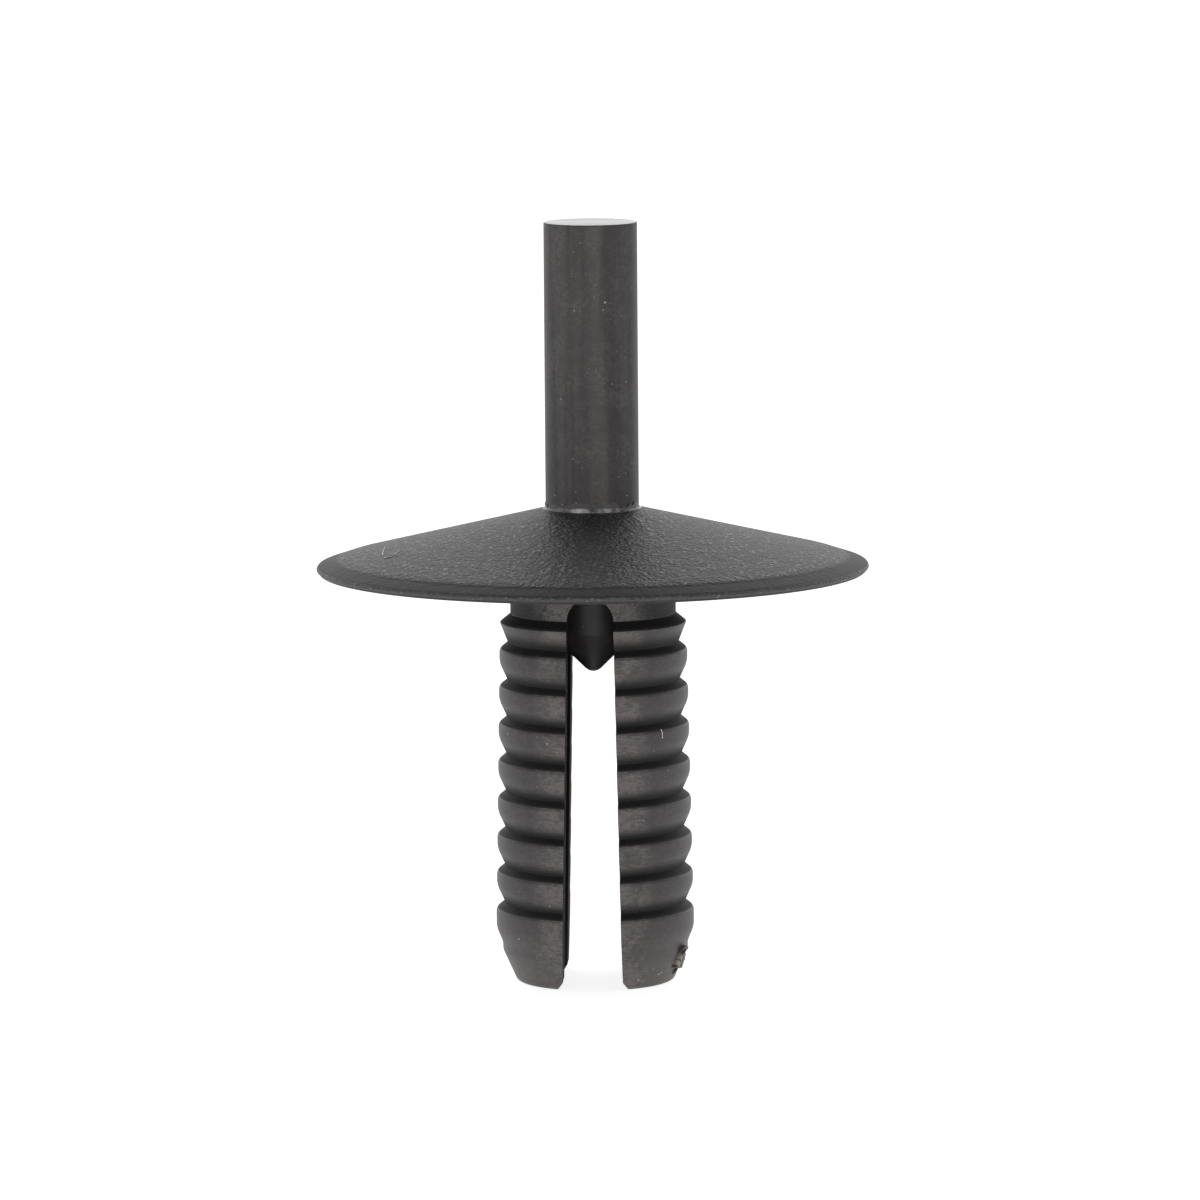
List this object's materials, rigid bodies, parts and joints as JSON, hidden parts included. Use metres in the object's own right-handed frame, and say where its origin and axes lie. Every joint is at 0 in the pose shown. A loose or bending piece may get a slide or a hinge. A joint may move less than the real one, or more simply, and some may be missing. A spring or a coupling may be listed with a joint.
{
  "type": "plastic push rivet",
  "caption": "Plastic push rivet: a drive pin stands proud of a broad shallow head and slides down the bore of a split, barbed shank to spread its legs behind a panel.",
  "frame": {"origin": "on the shank's axis, in the plane of the two leg ends that the rivet stands on", "axes": "+Z along the shank's axis from the leg ends to the drive pin; the slot between the legs runs along Y"},
  "size_m": [0.02, 0.02, 0.0276],
  "materials": {
    "body_nylon": "black moulded nylon, fine spark-eroded grain on the head, satin legs",
    "pin_nylon": "black moulded nylon, smooth satin with faint rub marks"
  },
  "bodies": {
    "body": {"rivet_body": "body_nylon"},
    "pin": {"drive_pin": "pin_nylon"}
  },
  "joints": [
    {"name": "pin_drive", "type": "slide", "parent": "body", "child": "pin", "axis": [0, 0, -1], "range_m": [0, 0.01036]}
  ]
}
